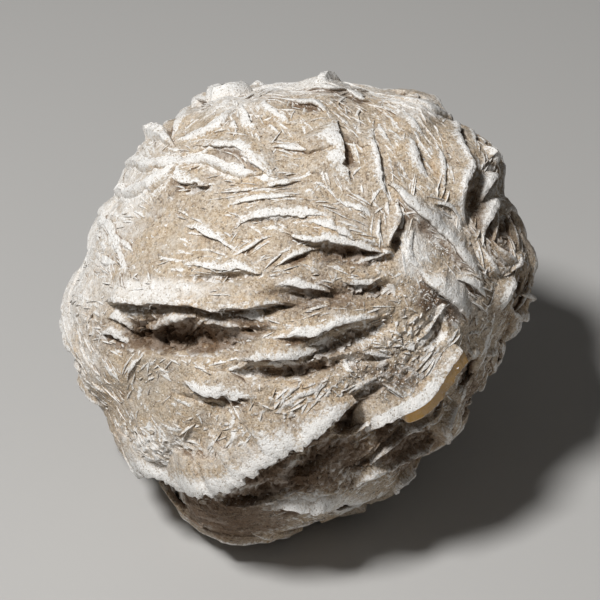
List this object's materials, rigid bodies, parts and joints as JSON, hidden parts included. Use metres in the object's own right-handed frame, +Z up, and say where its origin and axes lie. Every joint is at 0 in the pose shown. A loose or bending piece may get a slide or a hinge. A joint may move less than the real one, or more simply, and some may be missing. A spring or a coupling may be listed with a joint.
{
  "type": "gypsum sand rose",
  "caption": "Ball-shaped desert rose: lens-shaped gypsum blades grown through tan sand, fused into one loose mineral specimen that rests on a worn flat.",
  "frame": {"origin": "middle of the bottom of the bounding box, on the plane of the worn base", "axes": "+Z up; +X to the right along the longest side; the show face looks towards -Y, tilted up 38 degrees"},
  "size_m": [0.0756, 0.071, 0.0672],
  "materials": {
    "sand_gypsum": "matt, granular: tan sand faces with fine brown and black grains, chalky white worn rims, a few glassy amber and sparkling crystal edges"
  },
  "bodies": {
    "root": {"sand_rose": "sand_gypsum"}
  },
  "joints": []
}
